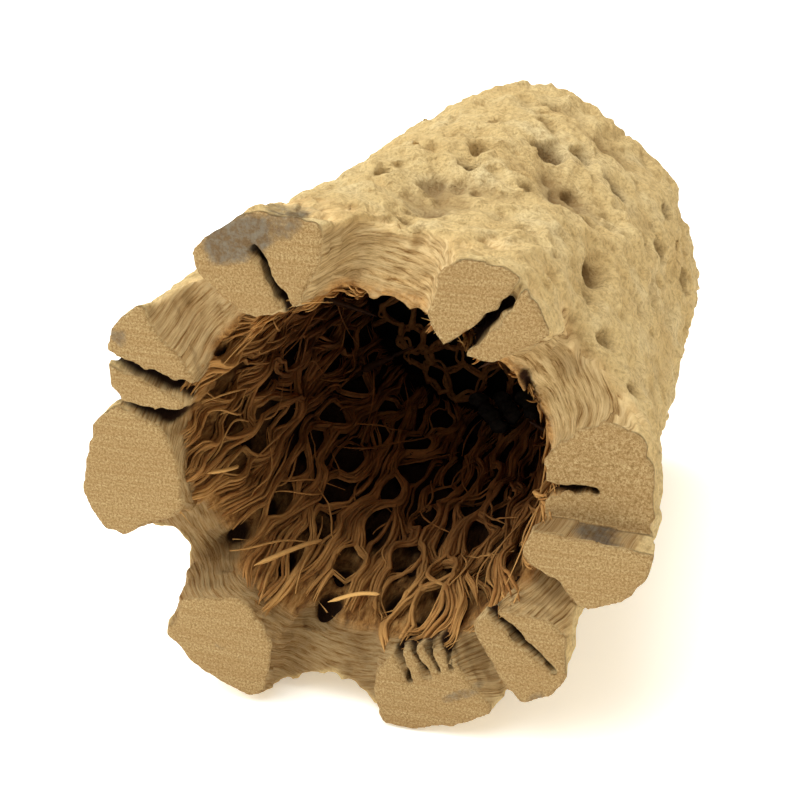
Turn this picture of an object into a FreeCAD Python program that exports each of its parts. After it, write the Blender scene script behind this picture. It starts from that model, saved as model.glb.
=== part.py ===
"""Rainstick section: a ribbed, hollow cactus stem sawn open at one end and plugged at the other.

Row frame, millimetres: +Z up, the stem lies along Y with its open end towards -Y. The origin is on the
floor, under the middle of the stem. Two ribs stand on the floor. Angles are seen from the open end,
anticlockwise from +X.
"""
import FreeCAD, Part

import math
import os

from FreeCAD import Placement, Rotation, Vector

import Sketcher

doc = FreeCAD.newDocument("rainstick")

# ---------------------------------------------------------------- driving dimensions

SIZES = {
    "tube_length": 78.0,
    "taper": 0.95,            # far section over near section
    "axis_height": 28.98,     # stem axis above the floor, at the open end
    "bore_radius": 20.5,
    "notch_depth": 7.0,       # worn gaps between ribs at the open end
    "slot_depth": 4.0,        # narrow gaps between close ribs
    "set_back": 3.6,          # one rib is sawn off further back than the others
    "crack_depth": 9.0,
    "crack_width": 0.9,
    "lining_gap": 0.05,
    "lining_thickness": 2.0,
    "lining_setback": 8.0,    # open end to the edge of the lining
    "web_depth": 67.0,        # open end to the near face of the web
    "web_thickness": 1.6,
    "web_hole_radius": 2.1,
    "plug_thickness": 6.0,
    "plug_recess": 1.0,       # plug face below the sawn far end
    "plug_radius": 20.4,
    "glue_width": 1.2,
    "glue_height": 0.8,
    "spine_base_radius": 0.9,
    "spine_tip_radius": 0.15,
    "spine_reach": 9.5,       # spine tip to the stem axis
    "spine_grip": 0.05,       # how much narrower the hole is than the spine
    "pebble_gap": 0.3,
}

sheet = doc.addObject("Spreadsheet::Sheet", "Sizes")
for row, (alias, value) in enumerate(SIZES.items(), start=1):
    sheet.set(f"A{row}", alias)
    sheet.set(f"B{row}", str(value))
    sheet.setAlias(f"B{row}", alias)
doc.recompute()


def size(alias):
    """A driving dimension, read from the sheet."""
    return float(sheet.get(alias))


# Ribs round the stem: start angle, end angle, crest radius at the open end.
RIBS = (
    (-3.0, 23.0, 31.2),
    (46.0, 70.0, 30.2),
    (97.0, 121.0, 30.4),
    (144.0, 163.0, 30.0),
    (168.0, 199.0, 31.4),
    (221.0, 248.0, 31.25),
    (277.0, 304.0, 29.2),
    (308.0, 328.0, 30.3),
    (341.0, 353.5, 31.6),
)
DEEPEST_VALLEY = 4.6
VALLEY_DEPTH_PER_WIDTH = 0.42
WIDE_GAP_DEG = 15.0           # a gap wider than this is worn into a notch
NARROW_GAP_DEG = 3.8          # a gap narrower than this is only a step

SET_BACK_FROM, SET_BACK_TO = -5.5, 25.5   # round the first rib

# Drying cracks in the sawn ribs: angle, inner radius, outer radius.
CRACKS = (
    (7.0, 18.0, 24.5),
    (51.0, 18.0, 27.5),
    (112.0, 18.0, 26.5),
    (153.5, 19.0, 31.5),
    (318.0, 20.5, 28.5),
)

# Spines driven in at the bottoms of the valleys: angle of the valley, distance from the open end.
SPINES = (
    (34.5, 24.0),
    (83.5, 31.0),
    (132.5, 33.0),
    (334.5, 36.0),
    (34.5, 40.0),
    (83.5, 43.0),
    (165.5, 44.5),
    (334.5, 44.0),
    (132.5, 49.0),
    (334.5, 52.0),
    (210.0, 55.0),
    (34.5, 57.5),
)

# Loose pebbles on the bottom of the bore: x, distance from the web, three radii, turn about Z.
PEBBLES = (
    (-0.9, 2.4, (1.6, 1.4, 1.2), 20.0),
    (2.6, 2.3, (1.5, 1.3, 1.3), -35.0),
    (6.0, 2.5, (1.4, 1.6, 1.2), 60.0),
    (0.8, 5.4, (1.5, 1.3, 1.1), 75.0),
    (4.2, 5.5, (1.6, 1.3, 1.2), 10.0),
    (7.5, 5.7, (1.3, 1.4, 1.1), -20.0),
    (2.4, 8.4, (1.3, 1.5, 1.2), 40.0),
    (5.5, 8.6, (1.5, 1.2, 1.2), -60.0),
    (8.2, 8.8, (1.1, 1.2, 1.0), 30.0),
    (4.0, 11.4, (1.4, 1.2, 1.1), 5.0),
)

NEAR = -size("tube_length") / 2
FAR = size("tube_length") / 2
OVERRUN = 2.0                  # how far a cutter passes the face it leaves through


def scale_at(y):
    """Size of the stem's section at y, over its size at the open end. It shrinks about the floor."""
    return 1 + (size("taper") - 1) * (y - NEAR) / size("tube_length")


def axis_z(y):
    return size("axis_height") * scale_at(y)


def at(angle, radius, scale=1.0):
    """Sketch point (X, Z) at an angle and radius about the stem axis, in a section of that scale."""
    a = math.radians(angle)
    return Vector(radius * math.cos(a), size("axis_height") + radius * math.sin(a), 0) * scale


def gaps():
    """The gaps between neighbouring ribs: start angle, end angle, radius at the bottom of the valley."""
    for (_, start, near_crest), (end, _, next_crest) in zip(RIBS, RIBS[1:] + RIBS[:1]):
        end = end + 360 if end < start else end
        crest = (near_crest + next_crest) / 2
        width = math.radians(end - start) * crest
        yield start, end, crest - min(DEEPEST_VALLEY, VALLEY_DEPTH_PER_WIDTH * width)


# ---------------------------------------------------------------- helpers


def new_body(label):
    body = doc.addObject("PartDesign::Body", label + "_body")
    body.Label = label
    return body


def section_sketch(body, name, y):
    """A sketch across the stem at y. Its own axes are the frame's X and Z."""
    sketch = body.newObject("Sketcher::SketchObject", name)
    plane = next(f for f in body.Origin.OriginFeatures if f.Role == "XZ_Plane")
    sketch.AttachmentSupport = (plane, [""])
    sketch.MapMode = "FlatFace"
    sketch.AttachmentOffset = Placement(Vector(0, 0, -y), Rotation())
    return sketch


def add_circle(sketch, radius, centre_z, radius_expression=None):
    edge = sketch.addGeometry(Part.Circle(Vector(0, centre_z, 0), Vector(0, 0, 1), radius), False)
    sketch.addConstraint(Sketcher.Constraint("PointOnObject", edge, 3, -2))
    sketch.addConstraint(Sketcher.Constraint("DistanceY", -1, 1, edge, 3, centre_z))
    width = sketch.addConstraint(Sketcher.Constraint("Radius", edge, radius))
    if radius_expression:
        sketch.setExpression(f"Constraints[{width}]", radius_expression)


def add_polygon(sketch, points):
    first = sketch.GeometryCount
    for a, b in zip(points, points[1:] + points[:1]):
        sketch.addGeometry(Part.LineSegment(a, b), False)
    last = sketch.GeometryCount - 1
    for edge in range(first, last + 1):
        after = edge + 1 if edge < last else first
        sketch.addConstraint(Sketcher.Constraint("Coincident", edge, 2, after, 1))


def add_outline(sketch, scale):
    """The ribbed outline: one arc over each crest and one hollow arc through each valley."""
    for (start, end, crest), (gap_start, gap_end, valley) in zip(RIBS, gaps()):
        middle = (start + end) / 2
        over = Part.Arc(at(start, crest, scale), at(middle, crest, scale), at(end, crest, scale))
        sketch.addGeometry(over, False)
        next_crest = RIBS[(RIBS.index((start, end, crest)) + 1) % len(RIBS)][2]
        through = at((gap_start + gap_end) / 2, valley, scale)
        hollow = Part.Arc(at(gap_start, crest, scale), through, at(gap_end, next_crest, scale))
        sketch.addGeometry(hollow, False)


def cut_pocket(body, name, sketch, depth_alias):
    """A pocket into the stem, checked to have removed wood."""
    before = body.Shape.Volume
    pocket = body.newObject("PartDesign::Pocket", name)
    pocket.Profile = sketch
    pocket.Type = 0
    pocket.setExpression("Length", f"Sizes.{depth_alias}")
    doc.recompute()
    if before - body.Shape.Volume < 1.0:
        pocket.Reversed = True
        doc.recompute()
    assert before - body.Shape.Volume > 1.0, f"{name} cut nothing"
    return pocket


def bore_cone(body, kind, name, radius_expression, y_start, y_end):
    """A cone on the stem's own sloping axis, shrinking as the stem does, added to or taken from a body."""
    cone = body.newObject(kind, name)
    cone.setExpression("Radius1", f"({radius_expression}) * {scale_at(y_start):.6f}")
    cone.setExpression("Radius2", f"({radius_expression}) * {scale_at(y_end):.6f}")
    start = Vector(0, y_start, axis_z(y_start))
    along = Vector(0, y_end, axis_z(y_end)) - start
    cone.Height = along.Length
    cone.Placement = Placement(start, Rotation(Vector(0, 0, 1), along))
    doc.recompute()
    return cone


# ---------------------------------------------------------------- cactus tube

tube_body = new_body("stem_blank")
near_outline = section_sketch(tube_body, "near_outline", NEAR)
add_outline(near_outline, 1.0)
far_outline = section_sketch(tube_body, "far_outline", FAR)
add_outline(far_outline, size("taper"))
doc.recompute()
stem = tube_body.newObject("PartDesign::AdditiveLoft", "stem")
stem.Profile = near_outline
stem.Sections = [far_outline]
stem.Ruled = True
doc.recompute()
bore_cone(
    tube_body, "PartDesign::SubtractiveCone", "bore", "Sizes.bore_radius", NEAR - OVERRUN, FAR + OVERRUN
)

plug_seat = section_sketch(tube_body, "plug_seat", FAR)
add_circle(plug_seat, size("plug_radius"), axis_z(FAR), "Sizes.plug_radius")
seat = tube_body.newObject("PartDesign::Pocket", "seat")
seat.Profile = plug_seat
seat.Type = 0
seat.setExpression("Length", "Sizes.plug_thickness + Sizes.plug_recess")
seat.Reversed = True
doc.recompute()

NOTCH_MARGIN_DEG = 1.0
NOTCH_INNER, NOTCH_OUTER = 17.0, 36.0


def gap_sector(start, end):
    """Four-sided outline of the gap between two ribs, from inside the bore to outside the stem."""
    a, b = start + NOTCH_MARGIN_DEG, end - NOTCH_MARGIN_DEG
    return [at(a, NOTCH_INNER), at(a, NOTCH_OUTER), at(b, NOTCH_OUTER), at(b, NOTCH_INNER)]


notch_sketch = section_sketch(tube_body, "notch_outlines", NEAR)
slot_sketch = section_sketch(tube_body, "slot_outlines", NEAR)
for gap_start, gap_end, _ in gaps():
    if gap_end - gap_start > WIDE_GAP_DEG:
        add_polygon(notch_sketch, gap_sector(gap_start, gap_end))
    elif gap_end - gap_start > NARROW_GAP_DEG:
        add_polygon(slot_sketch, gap_sector(gap_start, gap_end))
doc.recompute()
cut_pocket(tube_body, "notches", notch_sketch, "notch_depth")
cut_pocket(tube_body, "slots", slot_sketch, "slot_depth")

set_back_sketch = section_sketch(tube_body, "set_back_outline", NEAR)
add_polygon(set_back_sketch, gap_sector(SET_BACK_FROM, SET_BACK_TO))
doc.recompute()
cut_pocket(tube_body, "set_back_rib", set_back_sketch, "set_back")

crack_sketch = section_sketch(tube_body, "crack_outlines", NEAR)
for angle, inner, outer in CRACKS:
    aside = at(angle + 90, size("crack_width") / 2) - at(0, 0)
    add_polygon(crack_sketch, [at(angle, inner) - aside, at(angle, outer), at(angle, inner) + aside])
doc.recompute()
cut_pocket(tube_body, "cracks", crack_sketch, "crack_depth")

# ---------------------------------------------------------------- spines

HOLE_MOUTH = 6.0               # how far a hole is drilled past the spine's head
HEAD_BELOW_SKIN = 0.4


def spine_placement(angle, head_radius, y):
    """At the head, with Z pointing at the stem axis."""
    a = math.radians(angle)
    outward = Vector(math.cos(a), 0, math.sin(a))
    head = Vector(0, y, axis_z(y)) + outward * head_radius
    return Placement(head, Rotation(Vector(0, 0, 1), outward * -1))


def spine_cone(name, placement, length):
    """A tapered thorn, from its head to its tip."""
    cone = doc.addObject("Part::Cone", name)
    cone.Label = name
    cone.setExpression("Radius1", "Sizes.spine_base_radius")
    cone.setExpression("Radius2", "Sizes.spine_tip_radius")
    cone.Height = length
    cone.Placement = placement
    return cone


def spine_hole(name, placement, length):
    """The hole a thorn is driven into: a little narrower, and carried on past its head to the skin."""
    cone = doc.addObject("Part::Cone", name)
    slope = f"(Sizes.spine_base_radius - Sizes.spine_tip_radius) / {length:.4f}"
    cone.setExpression("Radius1", f"Sizes.spine_base_radius - Sizes.spine_grip + {HOLE_MOUTH} * {slope}")
    cone.setExpression("Radius2", "Sizes.spine_tip_radius - Sizes.spine_grip")
    cone.Height = length + HOLE_MOUTH
    cone.Placement = placement.multiply(Placement(Vector(0, 0, -HOLE_MOUTH), Rotation()))
    return cone


def valley_radius(angle):
    """Radius at the bottom of the valley that holds this angle, at the open end."""
    return next(valley for start, end, valley in gaps() if start < angle < end)


spines, holes = [], []
for number, (angle, depth) in enumerate(SPINES, start=1):
    y = NEAR + depth
    head_radius = valley_radius(angle) * scale_at(y) - HEAD_BELOW_SKIN
    where = spine_placement(angle, head_radius, y)
    spines.append(spine_cone(f"spine_{number:02d}", where, head_radius - size("spine_reach")))
    holes.append(spine_hole(f"hole_{number:02d}", where, head_radius - size("spine_reach")))

drills = doc.addObject("Part::Compound", "spine_holes")
drills.Links = holes
cactus_tube = doc.addObject("Part::Cut", "cactus_tube")
cactus_tube.Base = tube_body
cactus_tube.Tool = drills
cactus_tube.Label = "cactus_tube"

# ---------------------------------------------------------------- fibre lining

lining_near = NEAR + size("lining_setback")
lining_far = NEAR + size("web_depth") - size("web_thickness") / 4
lining_body = new_body("lining_blank")
bore_cone(
    lining_body, "PartDesign::AdditiveCone", "lining_outside",
    "Sizes.bore_radius - Sizes.lining_gap", lining_near, lining_far,
)
bore_cone(
    lining_body, "PartDesign::SubtractiveCone", "lining_inside",
    "Sizes.bore_radius - Sizes.lining_thickness", lining_near - OVERRUN, lining_far + OVERRUN,
)
fibre_lining = doc.addObject("Part::Cut", "fibre_lining")
fibre_lining.Base = lining_body
fibre_lining.Tool = drills
fibre_lining.Label = "fibre_lining"

# ---------------------------------------------------------------- fibre web across the far end

WEB_RINGS = ((0.0, 1), (5.6, 6), (11.2, 12), (16.2, 16))

web_body = new_body("fibre_web")
web_y = NEAR + size("web_depth")
web_sketch = section_sketch(web_body, "web_outline", web_y)
web_radius = (size("bore_radius") - size("lining_gap")) * scale_at(web_y + size("web_thickness"))
add_circle(web_sketch, web_radius, axis_z(web_y))
for ring_radius, count in WEB_RINGS:
    for k in range(count):
        a = math.radians(360 * k / count)
        centre = Vector(ring_radius * math.cos(a), axis_z(web_y) + ring_radius * math.sin(a), 0)
        hole_edge = web_sketch.addGeometry(
            Part.Circle(centre, Vector(0, 0, 1), size("web_hole_radius")), False
        )
        bound = web_sketch.addConstraint(Sketcher.Constraint("Radius", hole_edge, size("web_hole_radius")))
        web_sketch.setExpression(f"Constraints[{bound}]", "Sizes.web_hole_radius")
doc.recompute()
web_pad = web_body.newObject("PartDesign::Pad", "web_pad")
web_pad.Profile = web_sketch
web_pad.Type = 0
web_pad.Reversed = True
web_pad.setExpression("Length", "Sizes.web_thickness")

# ---------------------------------------------------------------- far end plug and its glue

plug = doc.addObject("Part::Cylinder", "far_end_plug")
plug.Label = "far_end_plug"
plug.setExpression("Radius", "Sizes.plug_radius - Sizes.lining_gap")
plug.setExpression("Height", "Sizes.plug_thickness")
plug_near = FAR - size("plug_recess") - size("plug_thickness")
plug.Placement = Placement(Vector(0, plug_near, axis_z(FAR)), Rotation(Vector(1, 0, 0), -90))

glue_outer = doc.addObject("Part::Cylinder", "glue_outer")
glue_outer.setExpression("Radius", "Sizes.plug_radius - Sizes.lining_gap")
glue_outer.setExpression("Height", "Sizes.glue_height")
glue_inner = doc.addObject("Part::Cylinder", "glue_inner")
glue_inner.setExpression("Radius", "Sizes.plug_radius - Sizes.glue_width")
glue_inner.setExpression("Height", "Sizes.glue_height")
for feature in (glue_outer, glue_inner):
    feature.Placement = Placement(
        Vector(0, FAR - size("plug_recess"), axis_z(FAR)), Rotation(Vector(1, 0, 0), -90)
    )
plug_glue_ring = doc.addObject("Part::Cut", "plug_glue_ring")
plug_glue_ring.Base = glue_outer
plug_glue_ring.Tool = glue_inner
plug_glue_ring.Label = "plug_glue_ring"

# ---------------------------------------------------------------- pebbles


def lining_floor(x, y):
    """Height of the lining's inner face under a point, near the bottom of the bore."""
    radius = (size("bore_radius") - size("lining_thickness")) * scale_at(y)
    return axis_z(y) - math.sqrt(radius * radius - x * x)


SHOULDER = 0.2                 # height of a pebble's widest girth above the wall beside it, in half heights
pebbles = []
for number, (x, from_web, radii, turn) in enumerate(PEBBLES, start=1):
    pebble = doc.addObject("Part::Ellipsoid", f"pebble_{number:02d}")
    pebble.Label = f"pebble_{number:02d}"
    pebble.Radius2, pebble.Radius3, pebble.Radius1 = radii
    half_height = radii[2]
    y = web_y - from_web
    on_bottom = lining_floor(x, y) + half_height
    on_side = lining_floor(abs(x) + max(radii), y) + SHOULDER * half_height
    centre_z = max(on_bottom, on_side) + size("pebble_gap")
    pebble.Placement = Placement(Vector(x, y, centre_z), Rotation(Vector(0, 0, 1), turn))
    pebbles.append(pebble)

# ---------------------------------------------------------------- check and write

doc.recompute()
KEPT = [cactus_tube, fibre_lining, web_body, plug, plug_glue_ring] + spines + pebbles
for feature in doc.Objects:
    assert not {"Invalid", "Error"} & set(feature.State), f"{feature.Label}: {feature.State}"

os.makedirs("parts", exist_ok=True)
for old in os.listdir("parts"):
    os.remove(os.path.join("parts", old))
for feature in KEPT:
    shape = feature.Shape
    assert not shape.isNull() and shape.isValid(), f"{feature.Label} has no valid shape"
    shape.exportStep(os.path.join("parts", feature.Label + ".step"))
    print(feature.Label, len(shape.Solids), "solid,", round(shape.Volume, 1), "mm3")
whole = Part.makeCompound([feature.Shape for feature in KEPT]).optimalBoundingBox(False)
print("box", [round(v, 3) for v in (whole.XMin, whole.XMax, whole.YMin, whole.YMax, whole.ZMin, whole.ZMax)])
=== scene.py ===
"""Rainstick section: the looks of a ribbed, hollow, dried cactus stem, sawn open at one end.

The frame is the CAD model's, in metres. The shapes below are worked out in millimetres and turned into
metres when a mesh is made. "Straight" space is the stem without its taper: its axis is the line X = Z = 0,
and depth is counted from the sawn open end. Angles are seen from the open end, anticlockwise from +X.
"""
import itertools
import math

import bmesh
import bpy
import numpy as np
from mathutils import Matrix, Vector


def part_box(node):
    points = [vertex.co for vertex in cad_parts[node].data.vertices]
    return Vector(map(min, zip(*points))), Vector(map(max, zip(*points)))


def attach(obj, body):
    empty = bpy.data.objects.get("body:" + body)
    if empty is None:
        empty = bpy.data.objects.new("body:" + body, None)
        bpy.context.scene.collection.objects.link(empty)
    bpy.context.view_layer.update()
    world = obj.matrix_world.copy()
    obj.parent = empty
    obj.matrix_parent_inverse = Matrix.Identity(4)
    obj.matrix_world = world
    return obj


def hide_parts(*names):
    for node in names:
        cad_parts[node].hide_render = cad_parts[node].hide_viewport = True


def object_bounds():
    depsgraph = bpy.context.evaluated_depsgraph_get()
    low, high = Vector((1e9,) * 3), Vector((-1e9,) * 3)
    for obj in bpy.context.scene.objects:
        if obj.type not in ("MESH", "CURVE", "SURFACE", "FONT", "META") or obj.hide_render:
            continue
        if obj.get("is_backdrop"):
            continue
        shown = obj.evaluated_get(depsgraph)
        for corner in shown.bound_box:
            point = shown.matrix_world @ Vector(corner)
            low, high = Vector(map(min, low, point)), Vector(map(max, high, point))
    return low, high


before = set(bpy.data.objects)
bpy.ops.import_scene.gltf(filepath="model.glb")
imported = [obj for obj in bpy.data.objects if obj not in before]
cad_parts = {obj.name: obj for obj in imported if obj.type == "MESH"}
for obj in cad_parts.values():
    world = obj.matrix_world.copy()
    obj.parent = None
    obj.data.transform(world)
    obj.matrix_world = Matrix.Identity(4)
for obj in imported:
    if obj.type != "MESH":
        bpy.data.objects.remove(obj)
cad_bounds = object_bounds()

# ---- the stem's own space

MM = 0.001


def in_mm(corners):
    """Corners given in metres, as arrays in millimetres."""
    return [np.array(corner) / MM for corner in corners]


stem_low, stem_high = in_mm(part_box("cactus_tube"))
NEAR = stem_low[1]
LENGTH = stem_high[1] - stem_low[1]
AXIS_HEIGHT = 28.98            # stem axis above the floor, at the open end
TAPER = 0.95                   # far section over near section
BORE = 20.5                    # bore radius
LINING_INSIDE = 18.5           # the pebbles roll on this radius
WEB_DEPTH = 67.0               # near face of the web
PLUG_SEAT_DEPTH = 71.0         # near face of the plug
PLUG_RADIUS = 20.4
SPINE_REACH = 9.5              # stem axis to the spine tips
SKIN_RADIUS = 29.0             # about where the skin is
NET_RADIUS = 20.0              # about where the net of fibres is


def scale_at(depth):
    """Size of the stem's section at a depth, over its size at the open end."""
    return 1 + (TAPER - 1) * depth / LENGTH


def from_straight(x, z, depth):
    """Straight-space points as rows of (x, y, z) in the frame, in millimetres."""
    scale = scale_at(depth)
    return np.stack([x * scale, NEAR + depth, (AXIS_HEIGHT + z) * scale], axis=-1)


def on_section(angle, radius):
    """The straight-space (x, z) at an angle in degrees and a radius."""
    a = np.radians(angle)
    return radius * np.cos(a), radius * np.sin(a)


def polar(angle, radius, depth):
    """Points given by angle in degrees, radius and depth, in the frame, in millimetres."""
    return from_straight(*on_section(angle, radius), depth)


def angle_of(x, z):
    """The angle of a place on the section, in degrees from 0 to 360."""
    return np.degrees(np.arctan2(z, x)) % 360


def turn(angle):
    """An angle in degrees brought between -180 and 180."""
    return (angle + 180) % 360 - 180


def smoothstep(low, high, value):
    """0 at low and 1 at high, with a smooth step between them."""
    u = np.clip((value - low) / (high - low), 0, 1)
    return u * u * (3 - 2 * u)


def smooth_min(a, b, width):
    """The smaller of two fields, with the corner where they cross rounded off."""
    h = np.clip(0.5 + 0.5 * (b - a) / width, 0, 1)
    return b + (a - b) * h - width * h * (1 - h)


def smooth_max(a, b, width):
    return -smooth_min(-a, -b, width)


def ring_profile(knots, blur=2.0):
    """A smooth function of the angle through (angle, value) knots all round the stem."""
    angles, values = zip(*sorted((a % 360, v) for a, v in knots))
    samples = np.interp(np.arange(0, 360, 0.5), angles, values, period=360)
    window = np.exp(-0.5 * (np.arange(-30, 31) * 0.5 / blur) ** 2)
    window /= window.sum()
    samples = np.convolve(np.concatenate([samples[-30:], samples, samples[:30]]), window, "valid")
    return lambda angle: np.interp(angle, np.arange(0, 360, 0.5), samples, period=360)


# ---- smooth random fields


def lattice_weights(where, cell):
    """Cubic spline weights that draw a coarse lattice of numbers up to the given places."""
    place = (where - where.min()) / cell + 1
    first = np.floor(place).astype(int)
    f = place - first
    weights = np.zeros((len(where), first.max() + 3))
    parts = ((1 - f) ** 3, 3 * f**3 - 6 * f**2 + 4, -3 * f**3 + 3 * f**2 + 3 * f + 1, f**3)
    for k, part in enumerate(parts):
        weights[np.arange(len(where)), first - 1 + k] = part / 6
    return weights.astype(np.float32)


def noise_grid(axes, cells, seed):
    """A smooth random field of unit strength on the grid of the given axes."""
    maps = [lattice_weights(axis, cell) for axis, cell in zip(axes, cells)]
    field = np.random.default_rng(seed).standard_normal([m.shape[1] for m in maps]).astype(np.float32)
    for m in maps:
        field = np.tensordot(field, m, axes=(0, 1))
    return field / field.std()


class RingNoise:
    """A smooth random field over angle, radius and depth, whose grain follows the stem."""

    def __init__(self, cell_angle, cell_radius, cell_depth, seed):
        self.count = int(round(360 / cell_angle))
        self.cell_radius = cell_radius
        self.cell_depth = cell_depth
        shape = (self.count, int(36 / cell_radius) + 4, int(84 / cell_depth) + 4)
        table = np.random.default_rng(seed).standard_normal(shape).astype(np.float32)
        self.table = table / 0.55

    def __call__(self, angle, radius, depth):
        places = (
            (angle % 360) * self.count / 360,
            radius / self.cell_radius,
            (depth + 2) / self.cell_depth,
        )
        places = np.broadcast_arrays(*places)
        low = [np.floor(p).astype(int) for p in places]
        parts = [p - i for p, i in zip(places, low)]
        parts = [(f * f * (3 - 2 * f)).astype(np.float32) for f in parts]
        total = 0
        for corner in np.ndindex(2, 2, 2):
            steps = corner[::-1]
            weight = 1
            for f, step in zip(parts, steps):
                weight = weight * (f if step else 1 - f)
            i = (low[0] + steps[0]) % self.count
            j = np.clip(low[1] + steps[1], 0, self.table.shape[1] - 1)
            k = np.clip(low[2] + steps[2], 0, self.table.shape[2] - 1)
            total = total + weight * self.table[i, j, k]
        return total


# ---- shape of the sawn end

# Each rib's sawn face at the open end, as (angle, radius) corners.
RIB_FACES = {
    "A": ((123, 30.6), (114, 31.2), (101, 31), (95.5, 28.7), (96.5, 25), (105.5, 20.6), (119.5, 21),
          (124.5, 27)),
    "B": ((69, 26.3), (67, 28.3), (61, 29.9), (55, 30.5), (49, 29.4), (44.5, 27.3), (46.5, 24), (50.5, 21),
          (56, 20.4), (62.5, 20.2), (67.5, 21.5)),
    "C": ((12.2, 19.6), (18.7, 23.8), (20.6, 26.6), (16.2, 30), (9.4, 30.9), (-0.9, 31), (-3.9, 27.8),
          (-4.3, 21.7), (0.7, 18.2)),
    "D": ((313, 19.5), (324, 19.8), (329.5, 24.5), (329, 26.8), (320, 30.4), (315, 30.8), (310, 30.2),
          (309.5, 27)),
    "E": ((277, 22), (285.5, 19.6), (294, 19.6), (299.5, 21.4), (301.5, 26.5), (302.5, 28.8), (297.5, 30.1),
          (287, 29.9), (277.5, 29.4), (276, 26)),
    "F": ((219.5, 26.2), (223.5, 28.8), (223.5, 31), (234, 31.4), (245.5, 30.8), (248, 29), (244, 22.2),
          (230, 20.2)),
    "G": ((165.3, 26), (169, 28.6), (173, 29.9), (178.5, 31), (184.5, 31.4), (191, 31.3), (196, 30.2),
          (198.8, 28.6), (197, 25.5), (195.5, 20.3), (184, 19.4), (170, 21), (165.8, 24)),
    "H": ((152.5, 30.3), (146, 30.5), (140.8, 29.2), (144.2, 26), (146.8, 20.2), (160, 20.2), (163.9, 26.6),
          (158.5, 29.5)),
    "J": ((-6.5, 18.6), (-5.4, 23), (-4.2, 31.3), (-7, 32), (-14.3, 30.7), (-20.6, 27.5), (-21.6, 25.8),
          (-17.4, 23), (-14.8, 18.8)),
}

# Depth of the worn arches between the ribs: angle, depth at the outer edge, depth at the inner edge.
ARCHES = (
    (8, 6, 6), (34, 8.5, 5), (57, 8, 4), (83, 7.5, 4.2), (108, 8, 6), (132, 9, 6.5), (154, 8, 6),
    (165.5, 4.5, 6.5), (184, 6, 6), (201, 6, 7), (210, 9.5, 7.5), (232, 6, 8), (262, 2.3, 7.5), (290, 3.5, 8),
    (306, 5, 7), (318, 7, 7), (333, 9, 7), (350, 8, 6), (357, 8.5, 8),
)
# Outer radius of the stem: angle, radius at the open end, radius at the far end.
OUTLINE = (
    (3, 31.3, 30.4), (14, 31.5, 29.0), (23, 29.2, 29.8), (34, 27.0, 31.0), (45, 28.4, 30.5), (56, 30.6, 29.6),
    (67, 28.9, 30.7), (83, 26.6, 31.1), (96, 29.0, 29.2), (108, 31.0, 27.5), (120, 30.2, 26.9),
    (133, 27.4, 26.8), (145, 29.9, 28.4), (154, 30.0, 29.2), (161, 28.4, 28.6), (165.5, 27.2, 28.2),
    (172, 29.4, 29.2), (189, 31.5, 30.8), (199, 30.5, 29.6), (210, 27.2, 28.5), (223, 31.1, 30.2),
    (236, 31.6, 30.6), (248, 31.2, 29.6), (262, 25.4, 27.6), (277, 29.1, 29.0), (290, 29.7, 29.4),
    (303, 29.4, 28.8), (307, 29.2, 28.6), (318, 30.8, 30.2), (327, 28.6, 29.2), (333, 26.8, 28.4),
    (340, 29.4, 28.6), (350, 31.6, 29.8),
)
# How far the inner edge of an arch is worn round: angle, millimetres. A sharp lip at the top, a bell mouth
# at the bottom.
WORN_LIP = (
    (34, 0.4), (83, 0.3), (132, 1.5), (165, 1.2), (209, 2.3), (262, 2.4), (306, 1.2), (333, 1.1), (357, 0.6),
)
# How much the layers of the wood lean towards the open end, by angle. They show as rings at the top and as
# steps at the bottom.
LAYER_LEAN = (
    (34, 0.1), (83, 0.1), (132, 0.15), (165, 0.3), (209, 0.45), (262, 0.6), (306, 0.4), (333, 0.3),
)

outline_near = ring_profile([(a, near) for a, near, _ in OUTLINE], blur=1.6)
outline_far = ring_profile([(a, far) for a, _, far in OUTLINE], blur=4.0)
arch_outer = ring_profile([(a, outer) for a, outer, _ in ARCHES], blur=3.5)
arch_inner = ring_profile([(a, inner) for a, _, inner in ARCHES], blur=3.5)
worn_lip = ring_profile(WORN_LIP, blur=4.0)
layer_lean = ring_profile(LAYER_LEAN, blur=6.0)


def outer_radius(angle, depth):
    """The outline of the near end, blended into the outline of the far end."""
    fade = smoothstep(0, 50, depth)
    return outline_near(angle) * (1 - fade) + outline_far(angle) * fade


def line_distance(x0, z0, x1, z1, x, z):
    """Distance to the line between two places, and how far along it the nearest point lies."""
    step_x, step_z = x1 - x0, z1 - z0
    along = ((x - x0) * step_x + (z - z0) * step_z) / (step_x * step_x + step_z * step_z)
    along = np.clip(along, 0, 1)
    return np.hypot(x - x0 - along * step_x, z - z0 - along * step_z), along


def polygon_distance(corners, x, z):
    """Signed distance to a polygon given by (angle, radius) corners, negative inside."""
    corner_x, corner_z = on_section(*np.array(corners, float).T)
    nearest = np.full(x.shape, 1e9)
    inside = np.zeros(x.shape, bool)
    for x0, z0, x1, z1 in zip(corner_x, corner_z, np.roll(corner_x, -1), np.roll(corner_z, -1)):
        nearest = np.minimum(nearest, line_distance(x0, z0, x1, z1, x, z)[0])
        crosses = (z0 > z) != (z1 > z)
        inside ^= crosses & (x < x0 + (z - z0) * (x1 - x0) / ((z1 - z0) or 1e-9))
    return np.where(inside, -nearest, nearest)


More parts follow.
